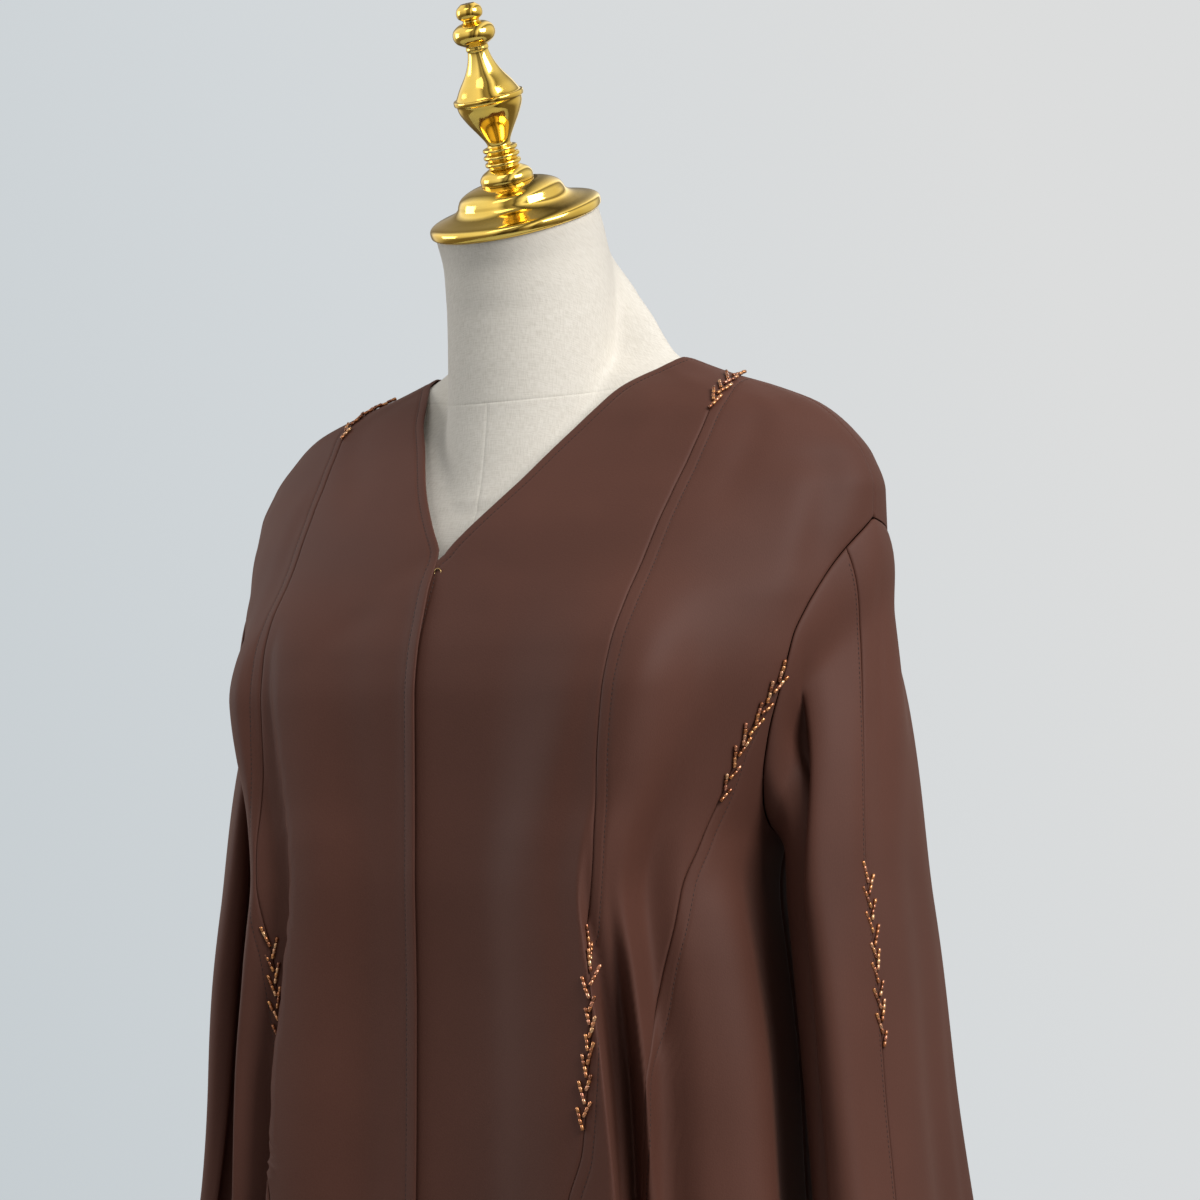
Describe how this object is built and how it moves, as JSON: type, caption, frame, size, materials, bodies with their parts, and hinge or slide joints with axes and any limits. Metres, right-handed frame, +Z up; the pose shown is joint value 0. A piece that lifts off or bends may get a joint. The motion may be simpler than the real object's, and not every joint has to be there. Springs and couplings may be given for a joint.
{
  "type": "abaya cloak on a dress form stand",
  "caption": "Long open-front abaya cloak of dark brown crepe with beaded seams, worn on a limbless linen dress form with a gold finial, on a round-based stand",
  "frame": {"origin": "on the floor, under the middle of the stand's base", "axes": "+Z up; -Y the way the wearer faces; +X the wearer's left"},
  "size_m": [0.7284, 0.5701, 1.6824],
  "materials": {
    "crepe": "satin-matt dark brown crepe",
    "linen": "off-white woven linen cover",
    "gold": "polished gold plating",
    "steel": "plated wire"
  },
  "bodies": {
    "root": {"back": "crepe", "finial": "gold", "form_torso": "linen", "front_center_left": "crepe", "front_center_right": "crepe", "front_hook": "steel", "front_side_left": "crepe", "front_side_right": "crepe", "neck_cap": "gold", "side_panel_left": "crepe", "side_panel_right": "crepe", "sleeve_back_left": "crepe", "sleeve_back_right": "crepe", "sleeve_front_left": "crepe", "sleeve_front_right": "crepe", "stand_base": "gold", "stand_pole": "gold"}
  },
  "joints": []
}
